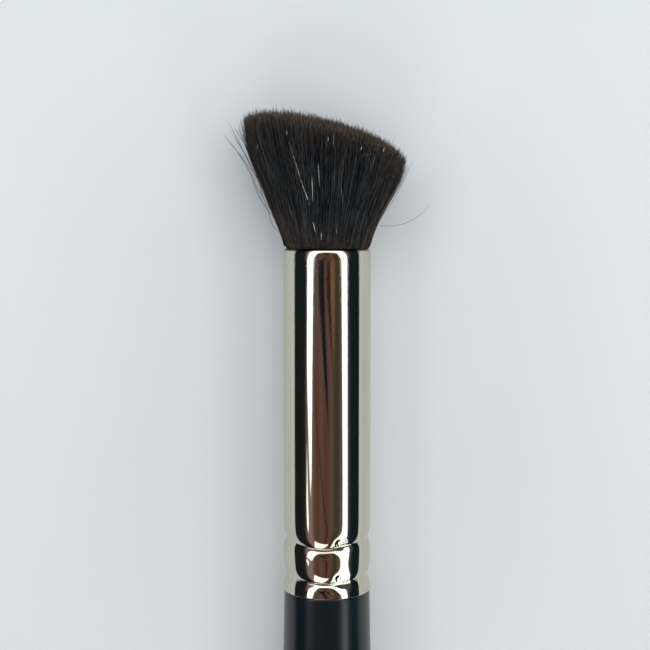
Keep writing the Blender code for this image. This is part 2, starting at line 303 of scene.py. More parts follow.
def new_piece(name, points, faces, material, node=None, values=None, cells=None):
    """A piece that rides on the brush, with the values and the map that its mesh carries."""
    piece = mesh_object(name, points, faces, material)
    mesh = piece.data
    mesh.set_sharp_from_angle(angle=SMOOTH_ANGLE)
    for title, numbers in (values or {}).items():
        carried = mesh.attributes.new(title, "FLOAT", "POINT")
        carried.data.foreach_set("value", numbers.astype(np.float32))
    if cells is not None:
        layer = mesh.uv_layers.new(name="OFBake")
        layer.uv.foreach_set("vector", cells.ravel().astype(np.float32))
    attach(piece, BODY)
    if node:
        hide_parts(node)
    return piece


# Hair


def fan(rise, height):
    """Share of the fan's full spread at a rise: s (0.72 + 1.346 s - 1.066 s^2), s = rise / height."""
    share = np.clip(rise / height, 0.0, 1.15)
    return share * (0.72 + 1.346 * share - 1.066 * share * share)


def half_sizes(rise, hair):
    """Half width and half depth of the bundle at a rise.

    Inside the mouth it is a round of mouth_radius. It swells over the lip from 0.25 mm below the
    mouth to 0.1 mm above it, and fans out.
    """
    over_lip = hair.mouth_radius + hair.lip_swell * smooth_step(rise, -0.25 * MM, 0.35 * MM)
    spread = fan(rise, hair.fan_height)
    full = hair.mouth_radius + hair.lip_swell
    return over_lip + (hair.half_width - full) * spread, over_lip + (hair.half_depth - full) * spread


def lean_at(rise, hair):
    """How far the fan leans over to its short side, from 3 mm above the mouth and fully at 10 mm."""
    return hair.lean * smooth_step(rise, 3.0 * MM, 7.0 * MM)


def place_hair(across_share, up_share, rise, hair):
    """Centre of a hair at a rise; its two shares place it in the bundle's section, a disc.

    The hair lies on the table, so the lower half of a column is pressed up to its surface.
    """
    half_width, half_depth = half_sizes(rise, hair)
    column = half_depth * np.sqrt(np.clip(1.0 - across_share * across_share, 0.0, 1.0))
    room = AXIS_Z - TABLE_ROOM
    pressed = (up_share < 0.0) & (column > room)
    press = np.where(pressed, room / np.maximum(column, room), 1.0)
    up = np.maximum(half_depth * up_share * press, -room)
    return on_brush(half_width * across_share + lean_at(rise, hair), rise, up)


def tip_rise(across_share, up_share, hair):
    """Rise of the cut: a slanted plane that domes down to its edge and is rounded at its rim.

    With q the square of the distance from the middle, the doming is 0.55 q + 0.45 q^2.
    """
    square = across_share * across_share + hair.depth_dome_share * up_share * up_share
    dome = hair.dome * (0.55 * square + 0.45 * square * square)
    rim = hair.rim_round * smooth_step(np.sqrt(square), 0.86, 0.16)
    return hair.height - math.tan(hair.slant) * hair.half_width * across_share - dome - rim


def top_of_hair(across, rise, hair):
    """Height over the axis of the bundle's upper surface."""
    half_width, half_depth = half_sizes(rise, hair)
    share = np.clip((across - lean_at(rise, hair)) / half_width, -1.0, 1.0)
    return half_depth * np.sqrt(1.0 - share * share)


def hair_tubes(centres, radii, turns):
    """Points of three-sided tubes round centre lines.

    Round each centre, a corner at angle a lies radius * (cos(a) * side + sin(a) * over) away;
    side is square to the hair and level, and over is square to both.
    """
    along = np.gradient(centres, axis=1)
    along /= np.linalg.norm(along, axis=2, keepdims=True)
    side = np.cross(along, (0.0, 0.0, 1.0))
    side /= np.linalg.norm(side, axis=2, keepdims=True)
    over = np.cross(side, along)
    angle = turns[:, None] + FULL_TURN * np.arange(HAIR_SIDES) / HAIR_SIDES
    ring = np.cos(angle)[:, None, :, None] * side[:, :, None, :]
    ring = ring + np.sin(angle)[:, None, :, None] * over[:, :, None, :]
    return centres[:, :, None, :] + radii[:, :, None, None] * ring


def hair_faces(count, rings):
    """Side quads of all hairs, then a triangle on each root and each tip."""
    size = rings * HAIR_SIDES
    start = (np.arange(count) * size)[:, None]
    sides = (start[:, :, None] + grid_faces(rings, HAIR_SIDES)).reshape(-1, 4)
    return [sides, start + np.array([0, 1, 2]), start + size - HAIR_SIDES + np.array([2, 1, 0])]


def hair_cells(count, rings):
    """Map of all hairs: each has a cell of a square grid, sides on the left and ends on the right."""
    across = math.ceil(math.sqrt(count))
    number = np.arange(count)
    corner = stacked(number % across, number // across) / across
    side = (np.arange(HAIR_SIDES)[:, None] + np.array([0, 0, 1, 1])) / HAIR_SIDES
    ring = (np.arange(rings - 1)[:, None, None] + np.array([0, 1, 1, 0])) / (rings - 1)
    sides = CELL_MARGIN + stacked(side, ring).reshape(-1, 2) * CELL_SIDES
    root = np.array(CELL_ROOT)
    blocks = [corner[:, None] + block / across for block in (sides, root, root + CELL_TIP_SHIFT)]
    return np.concatenate([block.reshape(-1, 2) for block in blocks])


def hair_radii(along, radius):
    """Radius along a hair: 0.8 of full at the root, full at mid length, a third at the tip."""
    return radius * (0.8 + 0.2 * smooth_step(along, 0.0, 0.35) - 0.67 * smooth_step(along, 0.7, 0.3))


def hair_piece(name, centres, radius, turns, rings, material, values=None):
    """A piece of hairs round centre lines, with values for each hair and the way along it."""
    count = len(centres)
    along = np.broadcast_to(rings, centres.shape[:2])
    points = hair_tubes(centres, hair_radii(along, radius), turns)
    carried = {"along": np.repeat(along.ravel(), HAIR_SIDES)}
    for title, numbers in (values or {}).items():
        carried[title] = np.repeat(numbers, len(rings) * HAIR_SIDES)
    faces, cells = hair_faces(count, len(rings)), hair_cells(count, len(rings))
    return new_piece(name, points, faces, material, values=carried, cells=cells)


def make_bundle(hair):
    """Centre lines of the whole head, with shares of the section, tones and turns of the hairs.

    Hairs fill a disc like seeds of a sunflower. Each leans towards its clump, the more the nearer
    its tip, and strays by a lean, a bow and a wave that it draws. Most tips end at the cut, which
    they follow by 0.6 of their stray, some stand above it and some are broken shorter.
    """
    rng = np.random.default_rng(hair.seed)
    count = hair.count
    number = np.arange(count)
    reach = np.sqrt((number + 0.5) / count)
    turn = number * math.pi * (3.0 - math.sqrt(5.0))
    share = stacked(reach * np.cos(turn), reach * np.sin(turn))
    share += rng.normal(0.0, 0.004, share.shape)

    knots = rng.uniform(-1.0, 1.0, (hair.clumps, 2))
    parts = np.array_split(share, 20)
    order = [((part[:, None] - knots) ** 2).sum(axis=2).argmin(axis=1) for part in parts]
    order = np.concatenate(order)
    pull = rng.uniform(0.0, 0.35, hair.clumps)[order]
    knot_tone = rng.normal(0.0, 1.0, hair.clumps)[order]
    knot_rise = rng.normal(0.0, 0.8 * hair.tip_scatter, hair.clumps)[order]

    along = BUNDLE_RINGS[:, None]
    loose = 1.0 + 3.5 * (rng.random(count) > LOOSE_DRAW)[:, None]
    wander = rng.normal(0.0, hair.wander, (count, 2)) * loose
    bow = rng.normal(0.0, 0.6 * hair.wander, (count, 2)) * loose
    wave = rng.normal(0.0, 0.5 * hair.wander, (count, 2))
    lean = (knots[order] - share) * pull[:, None]
    way = share[:, None] + (lean + wander)[:, None] * along**1.5
    way = way + bow[:, None] * np.sin(math.pi * along) + wave[:, None] * np.sin(FULL_TURN * along)
    limit = 1.0 + hair.stand_off * (rng.random(count) ** 4)[:, None, None] * along
    way = way * np.minimum(1.0, limit / np.linalg.norm(way, axis=2, keepdims=True))

    at_root = tip_rise(share[:, 0], share[:, 1], hair)
    at_end = tip_rise(way[:, -1, 0], way[:, -1, 1], hair)
    tips = at_root + 0.6 * (at_end - at_root) + knot_rise + rng.normal(0.0, hair.tip_scatter, count)
    fringe = hair.fringe * (0.7 - 0.4 * share[:, 0]) * rng.random(count) ** 1.5
    tips += np.where(rng.random(count) > FRINGE_DRAW, fringe, 0.0)
    tips -= np.where(rng.random(count) > BROKEN_DRAW, rng.uniform(0.0, 1.5 * MM, count), 0.0)
    rise = (tips[:, None] + ROOT_DEPTH) * BUNDLE_RINGS - ROOT_DEPTH
    centres = place_hair(way[..., 0], way[..., 1], rise, hair)
    tone = np.clip(0.4 + 0.12 * knot_tone + 0.26 * rng.normal(0.0, 1.0, count), 0.0, 1.0)
    return centres, share, tone, rng.uniform(0.0, FULL_TURN, count)


def hair_finish(hair):
    """Brown-black hair: near black in the middle of the fan, brown at the root, edges and tips.

    Streaks and short strokes of tone run along the hairs. Single tips are reddish or pale.
    """
    finish = new_finish("brown_black_hair")
    along, tone, edge = (finish.attribute(name) for name in ("along", "tone", "edge"))
    streak = finish.noise(3000.0, 0.3, 2.0)
    patch = finish.noise(420.0, 0.3, 2.0)
    stroke = finish.noise(7500.0, 0.28, 1.0)
    tone = finish.spread(tone + (streak - 0.5) * 2.8 + (stroke - 0.5) * 3.2, 0.0, 1.0)
    below_cut = finish.spread(along, 0.80, 0.97)
    roots = finish.spread(along, 0.40, 0.05)
    warm = below_cut * 0.5 + roots * 0.6 + edge * (roots * 0.3 + 0.42)
    warm = finish.spread(warm + (patch - 0.5) * 1.3 + (streak - 0.5) * 0.6, 0.05, 1.0)
    cool = finish.blend(tone, shade(hair.core_colour, 0.4), shade(hair.core_colour, 2.8))
    brown = finish.blend(tone, shade(hair.brown_colour, 0.45), shade(hair.brown_colour, 2.5))
    rust = finish.spread(streak, 0.52, 0.68) * (edge * 0.6 + roots * 0.3)
    brown = finish.blend(rust, brown, hair.rust_colour)
    dots = finish.spread(tone * 0.5 + (finish.noise(3900.0, detail=1.0) - 0.5) * 3.0 + 0.25, 0.0, 1.0)
    tips = finish.blend(dots, shade(hair.tip_colour, 0.25), shade(hair.tip_colour, 2.4))
    tips = finish.blend(edge * 0.6, tips, shade(hair.brown_colour, 1.2))
    reddish = finish.spread(finish.noise(2700.0, detail=1.0), 0.57, 0.64)
    pale = finish.spread(finish.noise(3100.0, detail=1.0), 0.60, 0.66)
    tips = finish.blend(reddish * 0.8, tips, hair.red_tip_colour)
    tips = finish.blend(pale * 0.85, tips, hair.pale_tip_colour)
    at_cut = finish.spread(along + (stroke - 0.5) * 0.05, 0.965, 0.998)
    colour = finish.blend(at_cut, finish.blend(warm, cool, brown), tips)
    return finish.surface(colour, 0.42, IOR=1.5)


def make_hair(hair):
    """The head in layers from the middle out, each a piece of its own, so that no piece holds too
    many triangles.
    """
    centres, share, tone, turns = make_bundle(hair)
    material = hair_finish(hair)
    edge = smooth_step(np.abs(share[:, 0]), 0.62, 0.33)
    layers = np.array_split(np.arange(hair.count), len(LAYER_NAMES))
    for name, rows in zip(LAYER_NAMES, layers):
        values = {"tone": tone[rows], "edge": edge[rows]}
        lines = (centres[rows], hair.hair_radius, turns[rows], BUNDLE_RINGS)
        piece = hair_piece("hair_" + name, *lines, material, values)
    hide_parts("hair_tuft")


# What the camera sees


def sight_line(pixels):
    """Directions from the camera through pixels of the photo."""
    pixels = np.asarray(pixels, float)
    right = (pixels[..., 0] - PHOTO_SIDE / 2.0) / PHOTO_FOCUS
    forward = (PHOTO_SIDE / 2.0 - pixels[..., 1]) / PHOTO_FOCUS
    cosine, sine = math.cos(CAMERA_TILT), math.sin(CAMERA_TILT)
    return np.stack([right, forward * cosine + sine, forward * sine - cosine], axis=-1)


def camera_place(stage):
    """The camera's place: across, above the mouth and up from the axis."""
    return np.array([stage.camera_across, stage.camera_rise, stage.camera_height])


def seen_at(pixels, up, stage):
    """Places at a height over the axis that the camera sees at pixels."""
    sight = sight_line(pixels)
    fall = (up - stage.camera_height) / sight[..., 2]
    place = camera_place(stage) + sight * fall[..., None]
    return place[..., 0], place[..., 1], np.broadcast_to(up, fall.shape)


def mirrored(pixel, stage):
    """Place on the plain ferrule that shows at a pixel, and the direction that it mirrors.

    The sight line meets the cylinder x^2 + z^2 = radius^2, and turns about the normal there.
    """
    sight = sight_line(pixel)
    start = camera_place(stage)
    square = sight[0] ** 2 + sight[2] ** 2
    half = start[0] * sight[0] + start[2] * sight[2]
    rest = start[0] ** 2 + start[2] ** 2 - FERRULE_RADIUS**2
    place = start + sight * (-half - math.sqrt(half * half - square * rest)) / square
    normal = np.array([place[0], 0.0, place[2]]) / FERRULE_RADIUS
    return place, sight - 2.0 * sight.dot(normal) * normal


def lamp_corner(pixel, stage):
    """Place at the lamps' height that the plain ferrule mirrors to the camera at a pixel."""
    place, away = mirrored(pixel, stage)
    return (place + away * (stage.lamp_height - place[2]) / away[2])[:2]


# White and stray hairs, by the photo's pixels from root to tip
WHITE_HAIRS = (
    ((308, 201), (301.5, 182), (289, 142)),
    ((319.4, 187), (318.6, 172), (317.5, 159)),
    ((312.4, 201), (312.3, 188), (311.7, 177)),
    ((315.6, 233), (314.2, 227), (312.4, 221)),
    ((309, 205), (307, 197), (304.5, 190)),
    ((333, 146), (333.4, 139), (333.6, 133)),
    ((327.8, 142), (328.4, 137)),
    ((360.6, 151), (361.8, 146)),
    ((383, 152), (384.4, 147.5)),
    ((286.5, 135), (286.9, 130.5)),
    ((337, 236), (336.4, 226)),
    ((321, 240), (321.6, 231)),
    ((256.5, 151), (257.8, 144)),
)
GREY_HAIRS = (
    ((369, 174), (373, 163), (375, 154)),
    ((359, 160), (364, 155.5), (373, 154)),
    ((343, 205), (341.6, 190), (341, 178)),
    ((296, 226), (291, 212), (287.5, 200)),
    ((362, 238), (365, 226), (367, 214)),
    ((271, 176), (267, 163), (263.5, 150)),
)
LEFT_STRAYS = (
    ((279, 232), (271.5, 223), (268.5, 213), (264, 204)),
    ((275, 219), (264.5, 205.5), (257, 192), (250.5, 173)),
    ((272, 212), (262.5, 190), (251.5, 163), (238.5, 128)),
    ((269.5, 209), (262, 194.5), (258.5, 181.5), (250.5, 166)),
    ((270.5, 204), (261, 184), (252.5, 164), (244.5, 141)),
    ((257, 178), (245, 161.5), (234, 147.5), (223.5, 134)),
    ((256, 181), (249, 170.5), (242, 159), (236, 150)),
    ((254, 172), (246, 157), (237.5, 139), (228, 122)),
    ((252, 167), (245.5, 155), (238, 143), (230, 129)),
    ((250, 155), (245, 145), (239.5, 136), (234, 127)),
    ((249, 148), (245.5, 141), (241.5, 135), (238, 129.5)),
    ((262, 196), (256, 186), (252, 178), (250, 171)),
)
RIGHT_STRAYS = (
    ((380, 225.3), (396, 225.5), (413, 219.5), (430.5, 204.5)),
    ((385, 213), (394, 199), (403, 182), (413, 161)),
    ((388, 204), (397, 190), (404, 176), (410.5, 165)),
    ((381, 219), (386.5, 208), (392, 197)),
)

# Heights of the stray hairs over the axis, in millimetres
LEFT_HEIGHTS = np.linspace(-1.4, 1.8, len(LEFT_STRAYS))
RIGHT_HEIGHTS = (0.4, -0.6, 0.8, 0.2)

# Hairs off the fan's edges: number, side, largest stand-off, depth of the edge, radius in millimetres
EDGE_HAIRS = {
    "loose_hairs_left": (36, -1.0, 0.09, 0.45, 0.024),
    "loose_hairs_right": (24, 1.0, 0.09, 0.45, 0.022),
    "frayed_hairs_left": (120, -1.0, 0.05, 0.2, 0.036),
    "frayed_hairs_right": (120, 1.0, 0.05, 0.2, 0.036),
}


def through(points):
    """A smooth line through two to four points: the polynomial that meets them evenly spaced."""
    knots = np.linspace(0.0, 1.0, len(points))
    return np.polyval(np.polyfit(knots, points, len(points) - 1), SINGLE_RINGS[:, None])


def line_hairs(lines, heights, stage, hair):
    """Centre lines through pixels, at heights over the axis or, without these, on the bundle's top.

    On the top, the height and the place that the camera sees there are found in turns.
    """
    centres = []
    for number, line in enumerate(lines):
        up = np.full(len(line), 0.0 if heights is None else heights[number] * MM)
        for _ in range(4 if heights is None else 1):
            across, rise, up = seen_at(line, up, stage)
            if heights is None:
                up = top_of_hair(across, rise, hair) + TOP_ROOM
        centres.append(through(on_brush(across, rise, up)))
    return np.stack(centres)


def edge_hairs(count, side, reach, depth, hair, rng):
    """Hairs that leave one edge of the fan at different heights, and stand off it at their tips.

    The share reach is how far they stand off at most, and depth how far above and below the edge.
    They start a share of 0.006 inside it and bow by about 0.008.
    """
    leave = rng.uniform(0.0, 0.75, count)[:, None]
    left = np.clip((SINGLE_RINGS - leave) / (1.0 - leave), 0.0, 1.0)
    off = reach * rng.random(count)[:, None] * left - 0.006
    bow = rng.normal(0.0, 0.008, count)[:, None] * np.sin(math.pi * SINGLE_RINGS)
    across_share = side * (1.0 + off + bow)
    up_share = rng.uniform(-depth, depth, count)[:, None] + 0.1 * bow
    ends = tip_rise(side, 0.0, hair) * rng.uniform(0.5, 1.0, count)
    return place_hair(across_share, up_share, ends[:, None] * (0.04 + 0.96 * SINGLE_RINGS), hair)


def single_hair_finish(name, end_colour, painted_highlight_colour):
    """A single hair with a painted highlight in the middle, where it catches the light, and darker
    ends.
    """
    finish = new_finish(name)
    along = finish.attribute("along") + (finish.noise(1500.0) - 0.5) * 0.3
    # Painted highlight: the colour is paler along the middle of the hair
    middle = finish.spread(along, 0.0, 0.4) * (1.0 - 0.7 * finish.spread(along, 0.7, 1.0))
    return finish.surface(finish.blend(middle, end_colour, painted_highlight_colour), 0.35, IOR=1.5)


def make_single_hairs(hair, stage):
    """The white and grey hairs that lie on the head, and the loose and stray hairs off its sides."""
    white = single_hair_finish("white_hair", (0.12, 0.12, 0.12), (0.75, 0.76, 0.75))
    grey = single_hair_finish("grey_hair", (0.05, 0.05, 0.05), (0.22, 0.22, 0.21))
    dark = single_hair_finish("stray_hair", shade(hair.core_colour, 2.0), linear((54, 50, 46)))
    pieces = [
        ("white_hairs", line_hairs(WHITE_HAIRS, None, stage, hair), 0.034, white),
        ("grey_hairs", line_hairs(GREY_HAIRS, None, stage, hair), 0.026, grey),
        ("stray_hairs_left", line_hairs(LEFT_STRAYS, LEFT_HEIGHTS, stage, hair), 0.045, dark),
        ("stray_hairs_right", line_hairs(RIGHT_STRAYS, RIGHT_HEIGHTS, stage, hair), 0.033, dark),
    ]
    rng = np.random.default_rng(hair.seed + 1)
    for name, (*layout, radius) in EDGE_HAIRS.items():
        pieces.append((name, edge_hairs(*layout, hair, rng), radius, dark))
    for name, centres, radius, material in pieces:
        hair_piece(name, centres, radius * MM, np.zeros(len(centres)), SINGLE_RINGS, material)


# Ferrule

# Places round the tube are a middle and a half width in degrees, with the top at 0. The creases
# sag towards the rim by a length in millimetres at such a place.
FRONT = (0.0, 48.0)
CREASE_SAGS = ((0.58, -8.0, 34.0), (0.3, *FRONT))

# Marks of the crimping wheel and jaw beside a crease: depth in millimetres, then middle and half
# width in degrees round the tube and in millimetres beyond the crease, and the first bell's power
TEETH = (0.04, 0.0, 13.0, 0.2, 0.22, 4)
JAW_DENT = (0.24, 22.0, 14.0, -0.3, 1.05)
JAW_BUTTON = (0.085, 16.0, 5.0, -0.75, 0.45)
JAW_WRINKLES = (0.013, 22.0, 9.8, -0.3, 0.5775)
TOOTH_PITCH = 0.34 * MM


def dent(degrees, beyond, deep, turn, span, place, reach, power=2):
    """A dent that is bell-shaped round the tube and along it, in metres."""
    return deep * MM * bell(degrees, turn, span, power) * bell(beyond, place, reach)


def crimp_dip(turn, depth, ferrule):
    """How far the wall is pressed in at a turn and a depth below the mouth.

    Each crimp falls to a crease as exp(-distance / flank), deepest on top. Towards the top the
    crease sags to the rim. Teeth of the crimping wheel cross it, and its jaw left a dent with a
    button's print and wrinkles in it, and a flat on the barrel between the crimps. The collar
    flares out to the rim.
    """
    degrees = np.degrees(turn)
    down = depth / MM
    front = bell(degrees, *FRONT)
    from_rim = (ferrule.first_crimp, ferrule.last_crimp)
    creases = [
        FERRULE_LENGTH - distance + sag * MM * bell(degrees, *place)
        for distance, (sag, *place) in zip(from_rim, CREASE_SAGS)
    ]
    lower = ferrule.lower_flank * (1.0 - 0.45 * bell(degrees, 0.0, 20.0, 4))
    teeth = np.cos(turn * FERRULE_RADIUS / TOOTH_PITCH * FULL_TURN)
    dip = 0.0
    for number, crease in enumerate(creases):
        offset = depth - crease
        beyond = offset / MM
        flank = np.where(offset < 0.0, ferrule.upper_flank, lower)
        away = np.sqrt((offset / flank) ** 2 + 0.0025)
        dip = dip + (ferrule.crimp_depth + ferrule.front_depth * front) * np.exp(-away)
        dip = dip + dent(degrees, beyond, *TEETH) * teeth * (1.0 - 0.7 * number)
        wrinkle = np.sin(turn * 47.0 + down * 9.0 + number) * np.cos(turn * 29.0 - down * 14.0)
        wrinkle = wrinkle + 0.7 * np.sin(turn * 83.0 - down * 5.0 + 2.0 * number)
        dip = dip + dent(degrees, beyond, *JAW_DENT) + dent(degrees, beyond, *JAW_BUTTON)
        dip = dip + dent(degrees, beyond, *JAW_WRINKLES) * wrinkle
    middle = down - (creases[0] + creases[1]) / 2.0 / MM
    dip = dip + 0.07 * MM * bell(degrees, 25.0, 15.0) * bell(middle, 0.0, 2.1, 4)
    below = depth - creases[1]
    flare = np.clip(1.0 - below / ferrule.last_crimp, 0.0, 1.0)
    return dip + ferrule.collar_flare * flare * smooth_step(below, 0.0, 0.3 * MM)


def straight(radius, depths):
    """Part of an outline at one radius."""
    return np.array([np.full(depths.shape, radius), depths])


def quarter(radius, depth, width, length, steps):
    """Quarter of an ellipse in an outline, at radius + width cos(a) and depth + length sin(a)."""
    angle = np.linspace(0.0, math.pi / 2.0, steps)
    return np.array([radius + width * np.cos(angle), depth + length * np.sin(angle)])


def ferrule_outline(ferrule):
    """Outline of the tube without its crimps, as radius and depth below the mouth.

    It runs over the lip's rolled edge, down the outside, round the rim and back up the inside.
    Along the lip, with s from 0 at its foot to 1 at the mouth, the slope is 0.3 s^2 + 0.38 s^8.
    """
    wall, foot, rounding = ferrule.wall, ferrule.lip_length, 0.05 * MM
    share = np.linspace(1.0, 0.0, 22)
    lean = np.arctan(0.3 * share**2 + 0.38 * share**8)
    drawn_in = foot * (0.1 * share**3 + 0.0422 * share**9)
    shoulder = np.array([FERRULE_RADIUS - drawn_in, foot * (1.0 - share)])
    inwards = np.array([-np.cos(lean), np.sin(lean)])
    roll = np.linspace(math.pi, 0.0, 9)[:-1] + lean[0]
    edge = shoulder[:, :1] + wall / 2.0 * inwards[:, :1]
    rolled = edge + wall / 2.0 * np.array([np.cos(roll), -np.sin(roll)])
    plain_end = FERRULE_LENGTH - ferrule.first_crimp - 2.6 * MM
    plain = straight(FERRULE_RADIUS, np.linspace(foot, plain_end, 26)[1:-1])
    crimped = straight(FERRULE_RADIUS, np.linspace(plain_end, FERRULE_LENGTH - rounding, 170))
    rim = quarter(FERRULE_RADIUS - rounding, FERRULE_LENGTH - rounding, rounding, rounding, 6)
    inside = straight(FERRULE_RADIUS - wall, np.linspace(FERRULE_LENGTH, foot, 20))
    inner_lip = (shoulder + wall * inwards)[:, -2:0:-1]
    parts = [rolled, shoulder, plain, crimped, rim[:, 1:], inside, inner_lip]
    return np.concatenate(parts, axis=1)


def plate_finish(ferrule):
    """Polished nickel plate, with a painted dark line on the lip's edge that stands in for the hair's
    shadow and reflection there.

    It has fine lines and wider bands from the drawing of the tube, haze, handling marks and
    scratches, and pits and small dents towards the mouth.
    """
    finish = new_finish("nickel_plate")
    back = finish.place(1)
    pits = finish.spread(finish.noise(6600.0, 0.6, 1.0), 0.5, 0.75)
    pits = pits * finish.spread(back, MOUTH_Y - 16.0 * MM, MOUTH_Y)
    dents = finish.noise(1900.0, detail=2.0)
    dents = dents * finish.spread(back, MOUTH_Y - 2.2 * MM, MOUTH_Y - 0.6 * MM)
    drawn = finish.noise(3200.0, 0.012)
    marks = finish.noise(900.0, 0.25, 4.0, 0.65)
    bands = finish.noise(1100.0, 0.02, 2.0)
    haze = finish.noise(160.0, 0.5)
    scratches = finish.spread(finish.noise(2400.0, 1.4, 2.0, across=0.25), 0.70, 0.74)
    tint = shade(ferrule.plate_colour, 1.03)
    duller = (
        (haze, 0.93),
        (finish.spread(drawn, 0.35, 0.65) * 0.5, 0.9),
        (finish.spread(bands, 0.42, 0.62) * 0.6, 0.88),
    )
    for share, factor in duller:
        tint = finish.blend(share, tint, shade(ferrule.plate_colour, factor))
    # Painted shade: the hair's shadow and reflection on the lip's edge, painted into the plate as a
    # near black line
    painted_lip_shade = finish.spread(back, MOUTH_Y - 0.22 * MM, MOUTH_Y - 0.14 * MM)
    tint = finish.blend(painted_lip_shade, tint, (0.03, 0.028, 0.025))
    rough = ferrule.roughness + finish.spread(marks, 0.45, 0.8) * 0.05 + scratches * 0.12
    height = drawn * 0.35 + marks * 0.25 - pits * 1.8 - dents * 1.6 - scratches * 0.4
    return finish.surface(tint, rough, Metallic=1.0, Normal=finish.bump(height, 0.1, 0.02 * MM))


def make_ferrule(ferrule):
    """The tube: its outline turned about the axis, less the dip of the crimps and the jaw marks.

    The turns are even ones less 0.55 of their sine, so that they lie closer together on top.
    """
    radius, depth = ferrule_outline(ferrule)
    even = FULL_TURN * (np.arange(ferrule.sides) / ferrule.sides - 0.5)
    turn = even - 0.55 * np.sin(even)
    dip = crimp_dip(turn, depth[:, None], ferrule)
    points = turned_grid(radius[:, None] - dip, -depth[:, None], turn)
    faces = [grid_faces(len(radius), ferrule.sides, ring=True)]
    new_piece("plated_ferrule", points, faces, plate_finish(ferrule), node="ferrule")


# Handle


def swell(start, end, steps):
    """Outline between two places given by radius, depth and slope, without its first point.

    It is the cubic with these radii and slopes. With s from 0 to 1 and the length l, it is
    (2 s^3 - 3 s^2 + 1) radius + (s^3 - 2 s^2 + s) l slope for the start, and
    (3 s^2 - 2 s^3) radius + (s^3 - s^2) l slope for the end.
    """
    share = np.linspace(0.0, 1.0, steps)[1:]
    square, cube = share**2, share**3
    length = end[1] - start[1]
    radius = (2.0 * cube - 3.0 * square + 1.0) * start[0] + (3.0 * square - 2.0 * cube) * end[0]
    radius += ((cube - 2.0 * square + share) * start[2] + (cube - square) * end[2]) * length
    return np.array([radius, start[1] + length * share])


def handle_outline(handle):
    """Outline of the handle from the tenon's top to the butt, as radius and depth below the mouth."""
    rim = FERRULE_LENGTH
    fill, edge, land = handle.tenon_radius, handle.neck_edge, handle.butt_land
    top = rim - TENON_LENGTH
    chamfer = 0.8 * MM
    tenon = [
        [fill - chamfer, fill, fill, fill - 0.12 * MM],
        [top, top + chamfer, rim - 10.0 * MM, rim],
    ]
    start = rim + 0.03 * MM + edge
    tail = rim + HANDLE_LENGTH - handle.butt_length
    belly = (BELLY_RADIUS, rim + handle.belly_from_rim, 0.0)
    parts = [
        tenon,
        quarter(handle.neck_radius - edge, start, edge, -edge, 9)[:, ::-1],
        swell((handle.neck_radius, start, 0.014), belly, 61),
        swell(belly, (handle.tail_radius, tail, -0.036), 91),
        quarter(land, tail, handle.tail_radius - land, handle.butt_length, 17)[:, 1:],
    ]
    return np.concatenate(parts, axis=1)


def lacquer_finish(handle):
    """Black satin lacquer over turned wood: faint grain and ripple, and a little dust and rubbing."""
    finish = new_finish("black_lacquer")
    grain = finish.noise(900.0, 0.03)
    ripple = finish.noise(260.0, 0.7, 2.0)
    rubbed = finish.spread(finish.noise(90.0, 0.5, 4.0), 0.5, 0.8)
    specks = finish.spread(finish.noise(2100.0, detail=1.0), 0.76, 0.82)
    paler = shade(handle.lacquer_colour, 1.7)
    colour = finish.blend(rubbed * 0.5 + specks * 0.5, handle.lacquer_colour, paler)
    rough = handle.roughness + rubbed * 0.05 + grain * 0.03
    normal = finish.bump(grain * 0.4 + ripple * 0.6, 0.12, 0.03 * MM)
    return finish.surface(colour, rough, Normal=normal)


def make_handle(handle):
    """The handle: its outline turned about the axis, closed by a pole at the tenon and the butt."""
    radius, depth = handle_outline(handle)
    column = np.arange(handle.sides)
    beside = (column + 1) % handle.sides
    turn = FULL_TURN * column / handle.sides
    grid = turned_grid(radius[:, None], -depth[:, None], turn).reshape(-1, 3)
    poles = on_brush(0.0, -depth[[0, -1]], 0.0)
    last = len(grid) - handle.sides
    top = stacked(len(grid), column, beside)
    bottom = stacked(len(grid) + 1, last + beside, last + column)
    faces = [grid_faces(len(radius), handle.sides), top, bottom]
    points, material = np.concatenate([grid, poles]), lacquer_finish(handle)
    new_piece("lacquered_handle", points, faces, material, node="handle")


# Root inside the ferrule


def finish_root():
    """Finishes of the waxed thread, the resin plug and the ring of adhesive."""
    thread = new_finish("waxed_thread")
    bands = {"wave_type": "BANDS", "bands_direction": "DIAGONAL"}
    sockets = {"Vector": thread.place(), "Scale": 620.0, "Distortion": 1.5}
    ply = thread.node("TexWave", bands, sockets, output=1)
    fuzz = thread.noise(3000.0)
    colour = thread.blend(ply * 0.7 + fuzz * 0.3, (0.44, 0.38, 0.27), (0.66, 0.61, 0.49))
    thread.surface(colour, 0.6 + fuzz * 0.2, Normal=thread.bump(ply, 0.5, 0.05 * MM))

    resin = new_finish("amber_resin")
    cloud = resin.noise(350.0, detail=4.0)
    colour = resin.blend(cloud, (0.34, 0.2, 0.07), (0.55, 0.4, 0.18))
    normal = resin.bump(resin.noise(700.0), 0.3, 0.04 * MM)
    resin.surface(colour, 0.18 + cloud * 0.2, Normal=normal)

    adhesive = new_finish("white_adhesive")
    bubble = adhesive.node("TexVoronoi", sockets={"Vector": adhesive.place(), "Scale": 900.0})
    colour = adhesive.blend(adhesive.spread(bubble, 0.1, 0.5), (0.6, 0.57, 0.46), (0.8, 0.78, 0.69))
    adhesive.surface(colour, 0.45 + bubble * 0.2, Normal=adhesive.bump(bubble, 0.4, 0.05 * MM))

    for name, finish in (("root_tie", thread), ("root_glue", resin), ("tenon_glue", adhesive)):
        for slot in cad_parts[name].material_slots:
            slot.material = finish.owner


# Stage


def stage_piece(name, points, faces, material):
    """A mesh that belongs to the stage."""
    item = mesh_object(name, points, [faces], material)
    return item


def level_piece(name, left, right, low, high, level, material):
    """A level rectangle of the stage."""
    corners = stacked([left, right, right, left], [low, low, high, high], level)
    return stage_piece(name, corners, np.array([[0, 1, 2, 3]]), material)


